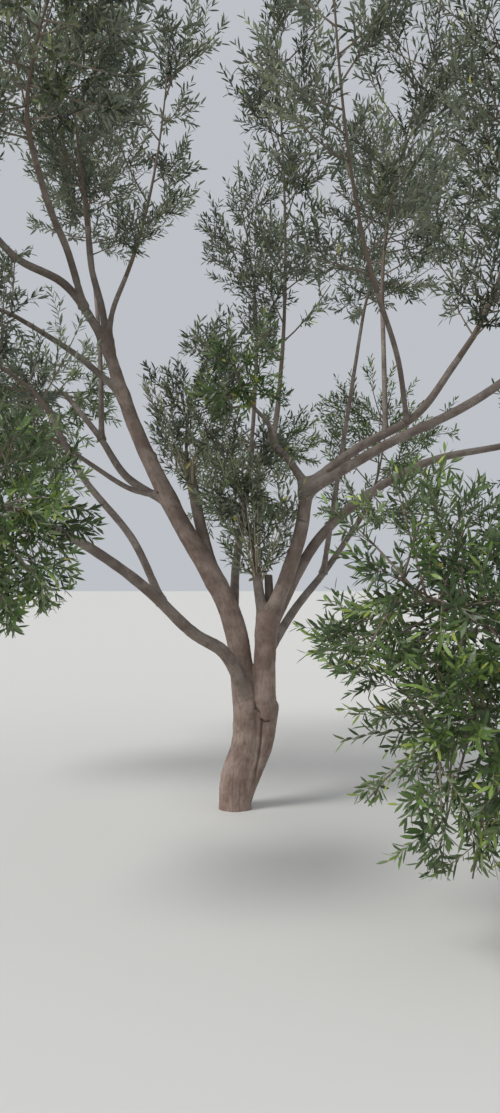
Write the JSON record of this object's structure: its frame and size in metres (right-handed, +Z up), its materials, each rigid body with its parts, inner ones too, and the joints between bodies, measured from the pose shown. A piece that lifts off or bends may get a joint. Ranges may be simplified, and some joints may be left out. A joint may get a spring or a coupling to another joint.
{
  "type": "olive tree",
  "caption": "Olive tree pruned to an open vase: a short leaning trunk forks low, and bare boughs each end in a mass of narrow grey-green leaves, upright above and weeping low down.",
  "frame": {"origin": "middle of the flat cut under the trunk, at ground level", "axes": "+Z up the tree, +X to the right and +Y away from a viewer in front, who sees the low fork with the thicker stem on the left"},
  "size_m": [6.2278, 5.7898, 6.2299],
  "materials": {
    "bark": "smooth grey-brown bark, fissured low on the trunk",
    "leaves": "grey-green leaves, paler and silvery below"
  },
  "bodies": {
    "root": {"trunk": "bark", "left_stem": "bark", "right_stem": "bark", "right_bough": "bark", "crotch_stub": "bark", "centre_bough": "bark", "low_left_bough": "bark", "rising_left_bough": "bark", "back_left_bough": "bark", "side_left_bough": "bark", "high_left_bough": "bark", "outer_left_bough": "bark", "front_left_bough": "bark", "middle_left_bough": "bark", "inner_left_bough": "bark", "back_stub": "bark", "crotch_bough": "bark", "centre_fork": "bark", "centre_leader": "bark", "upper_right_bough": "bark", "outer_right_bough": "bark", "low_right_bough": "bark", "back_right_bough": "bark", "right_leader": "bark", "front_leader": "bark", "front_right_bough": "bark", "right_skirt_bough": "bark", "back_bough": "bark", "back_left_leader": "bark", "back_right_leader": "bark", "back_leader": "bark", "foliage_low_left_bough": "leaves", "foliage_rising_left_bough": "leaves", "foliage_back_left_bough": "leaves", "foliage_side_left_bough": "leaves", "foliage_high_left_bough": "leaves", "foliage_outer_left_bough": "leaves", "foliage_front_left_bough": "leaves", "foliage_middle_left_bough": "leaves", "foliage_inner_left_bough": "leaves", "foliage_back_stub": "leaves", "foliage_crotch_bough": "leaves", "foliage_centre_fork": "leaves", "foliage_centre_leader": "leaves", "foliage_upper_right_bough": "leaves", "foliage_outer_right_bough": "leaves", "foliage_low_right_bough": "leaves", "foliage_back_right_bough": "leaves", "foliage_right_leader": "leaves", "foliage_front_leader": "leaves", "foliage_front_right_bough": "leaves", "foliage_right_skirt_bough": "leaves", "foliage_back_bough": "leaves", "foliage_back_left_leader": "leaves", "foliage_back_right_leader": "leaves", "foliage_back_leader": "leaves"}
  },
  "joints": []
}
